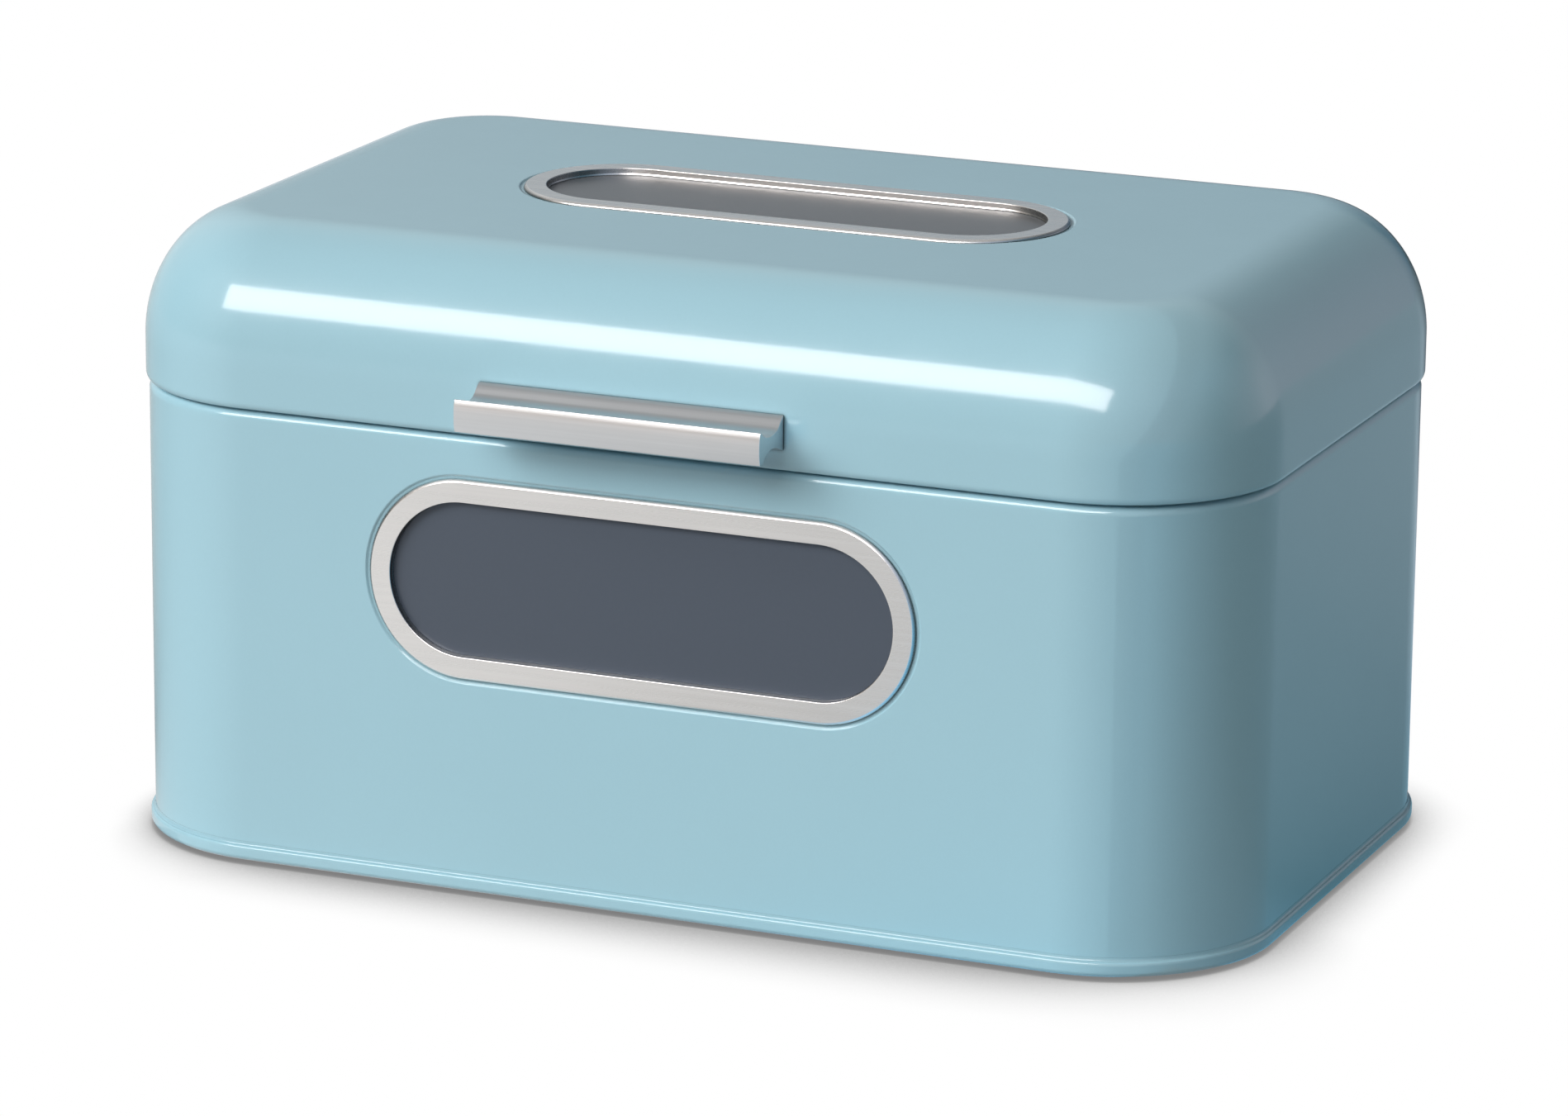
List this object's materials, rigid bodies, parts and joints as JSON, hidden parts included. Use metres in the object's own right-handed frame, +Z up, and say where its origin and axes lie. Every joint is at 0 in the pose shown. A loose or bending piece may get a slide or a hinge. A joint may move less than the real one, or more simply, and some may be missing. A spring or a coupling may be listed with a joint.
{
  "type": "bread bin",
  "caption": "Pressed-steel bread bin with a domed rear-hinged lid, stadium windows in the front wall and lid, and a bar handle.",
  "frame": {"origin": "centre of the whole bin's footprint, handle and hinges included, on the floor plane the feet rest on", "axes": "+Z up, +X towards the right of a person facing the front, the front with the window and handle faces -Y"},
  "size_m": [0.3046, 0.2102, 0.1638],
  "materials": {
    "enamel": "gloss enamel",
    "stainless": "satin",
    "smoked_acrylic": "clear gloss, smoked",
    "handle_aluminium": "satin anodised",
    "zinc_steel": "zinc plated",
    "foot_rubber": "matte"
  },
  "bodies": {
    "bin_body": {"body_wall": "enamel", "base_pan": "enamel", "front_window_bezel": "stainless", "front_window_pane": "smoked_acrylic", "front_window_retainer": "zinc_steel", "hinge_body_leaf_left": "zinc_steel", "hinge_pin_left": "zinc_steel", "body_rivet_left_outer": "zinc_steel", "body_rivet_left_inner": "zinc_steel", "hinge_body_leaf_right": "zinc_steel", "hinge_pin_right": "zinc_steel", "body_rivet_right_outer": "zinc_steel", "body_rivet_right_inner": "zinc_steel", "foot_front_left": "foot_rubber", "foot_front_right": "foot_rubber", "foot_rear_left": "foot_rubber", "foot_rear_right": "foot_rubber"},
    "lid": {"lid_shell": "enamel", "top_window_bezel": "stainless", "top_window_pane": "smoked_acrylic", "top_window_retainer": "zinc_steel", "handle_bar": "handle_aluminium", "handle_screw_left": "zinc_steel", "handle_washer_left": "zinc_steel", "hinge_lid_leaf_left": "zinc_steel", "lid_rivet_left_outer": "zinc_steel", "lid_rivet_left_inner": "zinc_steel", "handle_screw_right": "zinc_steel", "handle_washer_right": "zinc_steel", "hinge_lid_leaf_right": "zinc_steel", "lid_rivet_right_outer": "zinc_steel", "lid_rivet_right_inner": "zinc_steel"}
  },
  "joints": [
    {"name": "lid_hinge", "type": "hinge", "parent": "bin_body", "child": "lid", "pos_m": [0, 0.10125, 0.1163], "axis": [-1, 0, 0], "range_deg": [0, 100]}
  ]
}
